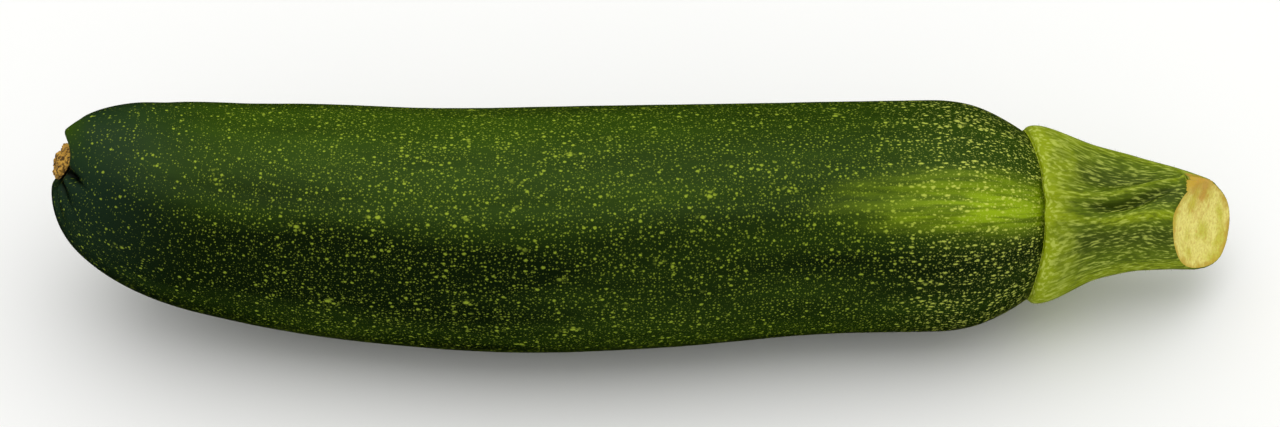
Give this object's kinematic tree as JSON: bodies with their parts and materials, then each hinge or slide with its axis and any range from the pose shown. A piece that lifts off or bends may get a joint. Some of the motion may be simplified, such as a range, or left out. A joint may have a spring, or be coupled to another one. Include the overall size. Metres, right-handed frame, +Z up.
{
  "type": "courgette",
  "caption": "Whole courgette as picked: long rounded fruit with a dimpled blossom end and corky scar, and a ribbed stem with an oblique cut.",
  "frame": {"origin": "under the middle of the bounding box, on the surface that the courgette lies on", "axes": "+X along the courgette towards the cut stem, +Y away from the side that the picture shows, +Z up"},
  "size_m": [0.196, 0.0434, 0.0401],
  "materials": {
    "skin": "waxy dark green skin with pale flecks, satin gloss",
    "stem": "ribbed yellow-green stalk, dull, with a pale moist cut face",
    "cork": "dry corky scar, matt"
  },
  "bodies": {
    "root": {"fruit": "skin", "stem": "stem", "blossom_scar": "cork"}
  },
  "joints": []
}
